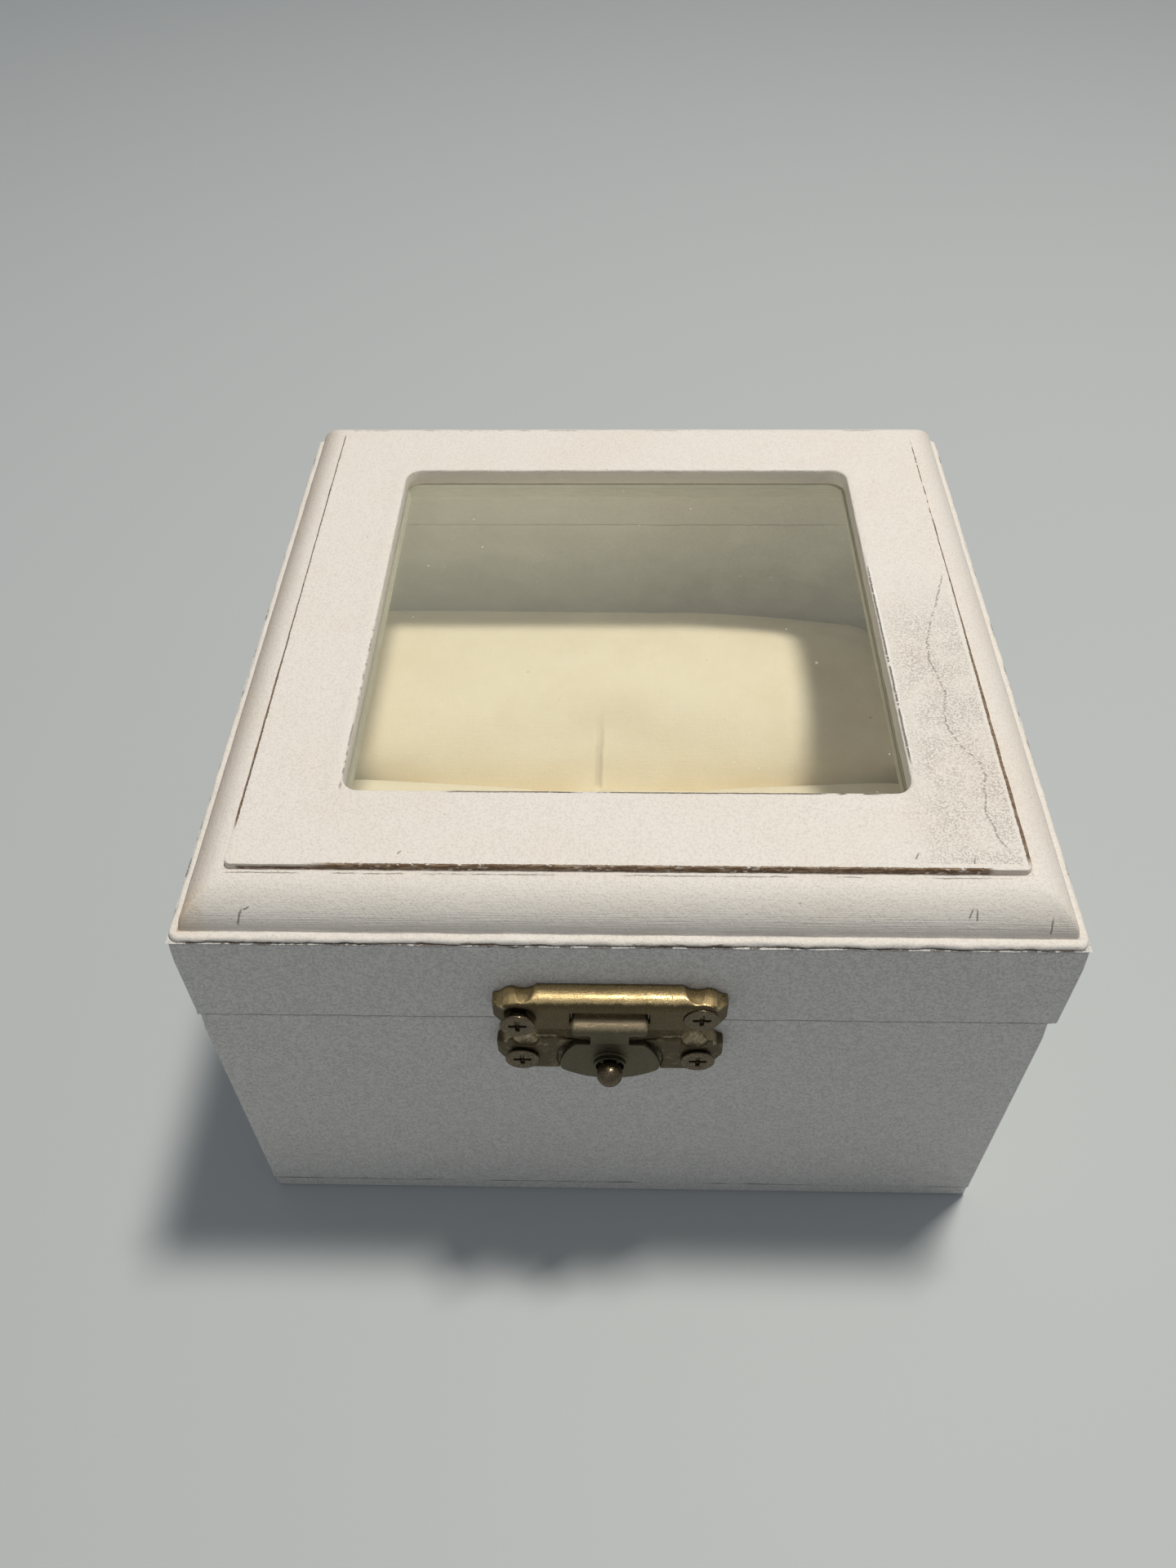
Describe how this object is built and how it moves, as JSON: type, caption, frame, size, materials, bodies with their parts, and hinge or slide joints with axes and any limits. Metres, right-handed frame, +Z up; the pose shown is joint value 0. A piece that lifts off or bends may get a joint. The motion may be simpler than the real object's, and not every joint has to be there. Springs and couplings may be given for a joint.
{
  "type": "keepsake box",
  "caption": "Small square wooden keepsake box with a hinged lid, a moulded top with a glazed window, a padded cloth insert and a pressed-metal hasp.",
  "frame": {"origin": "centre of the base's underside, on the surface that the box stands on", "axes": "+Z up, -Y to the front with the hasp, +X to the right of someone facing the hasp"},
  "size_m": [0.1208, 0.1308, 0.0806],
  "materials": {
    "painted_wood": "chalky white paint, worn at the edges",
    "window_glass": "clear pane with a faint green tint, dusty",
    "cushion_cloth": "soft ivory cloth over foam",
    "antique_brass": "pressed sheet, antiqued and speckled",
    "bronze": "dark antique bronze",
    "hinge_brass": "rolled sheet, antiqued"
  },
  "bodies": {
    "base": {"base_front_wall": "painted_wood", "base_back_wall": "painted_wood", "base_left_wall": "painted_wood", "base_right_wall": "painted_wood", "base_bottom_panel": "painted_wood", "cushion_front": "cushion_cloth", "cushion_rear": "cushion_cloth", "catch_plate": "antique_brass", "catch_stud": "bronze", "catch_plate_screws": "bronze", "hinge_left_base_leaf": "hinge_brass", "hinge_right_base_leaf": "hinge_brass", "hinge_left_pin": "hinge_brass", "hinge_right_pin": "hinge_brass", "hinge_base_screws": "hinge_brass"},
    "lid": {"lid_front_rail": "painted_wood", "lid_back_rail": "painted_wood", "lid_left_rail": "painted_wood", "lid_right_rail": "painted_wood", "lid_top_panel": "painted_wood", "glazing_bead_left": "painted_wood", "glazing_bead_right": "painted_wood", "glazing_bead_front": "painted_wood", "glazing_bead_back": "painted_wood", "hinge_left_lid_leaf": "hinge_brass", "hinge_right_lid_leaf": "hinge_brass", "hinge_lid_screws": "hinge_brass", "window_glass": "window_glass", "hasp_plate": "antique_brass", "hasp_plate_screws": "bronze"},
    "hasp_flap": {"hasp_flap": "antique_brass"}
  },
  "joints": [
    {"name": "lid_hinge", "type": "hinge", "parent": "base", "child": "lid", "pos_m": [0, 0.0616, 0.05613], "axis": [-1, 0, 0], "range_deg": [0, 175]},
    {"name": "hasp_flap_hinge", "type": "hinge", "parent": "lid", "child": "hasp_flap", "pos_m": [-0.0015, -0.06305, 0.05965], "axis": [-1, 0, 0], "range_deg": [0, 130]}
  ]
}
